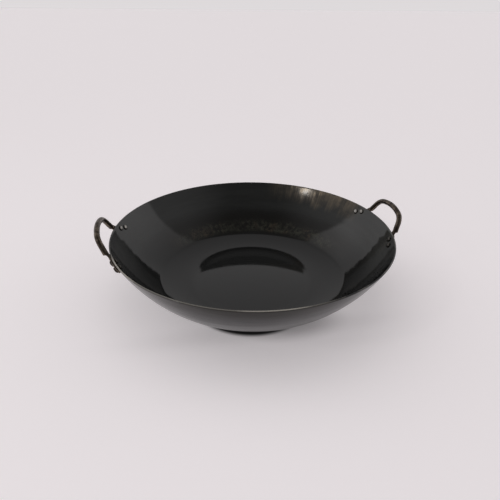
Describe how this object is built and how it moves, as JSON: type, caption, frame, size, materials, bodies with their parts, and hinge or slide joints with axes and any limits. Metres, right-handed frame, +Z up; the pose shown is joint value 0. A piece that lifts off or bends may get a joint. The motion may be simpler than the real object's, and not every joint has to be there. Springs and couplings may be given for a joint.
{
  "type": "deep fry pot",
  "caption": "Round deep fry pot of blackened pressed steel with a dished floor, flared walls and bent rod handles riveted outside the rim.",
  "frame": {"origin": "middle of the base, on the surface that the pot stands on", "axes": "+Z up out of the bowl, +X through the middle of the right handle, +Y away from the viewer towards the rear of the rim"},
  "size_m": [0.4532, 0.42, 0.1178],
  "materials": {
    "black_steel": "blackened steel sheet under a clear glossy coat",
    "rod_steel": "dark brown-black bent rod with a soft bronze sheen",
    "rivet_steel": "bare grey domed heads"
  },
  "bodies": {
    "root": {"bowl": "black_steel", "handle_right": "rod_steel", "handle_left": "rod_steel", "rivet_right_rear_1": "rivet_steel", "rivet_right_rear_2": "rivet_steel", "rivet_right_front_1": "rivet_steel", "rivet_right_front_2": "rivet_steel", "rivet_left_rear_1": "rivet_steel", "rivet_left_rear_2": "rivet_steel", "rivet_left_front_1": "rivet_steel", "rivet_left_front_2": "rivet_steel"}
  },
  "joints": []
}
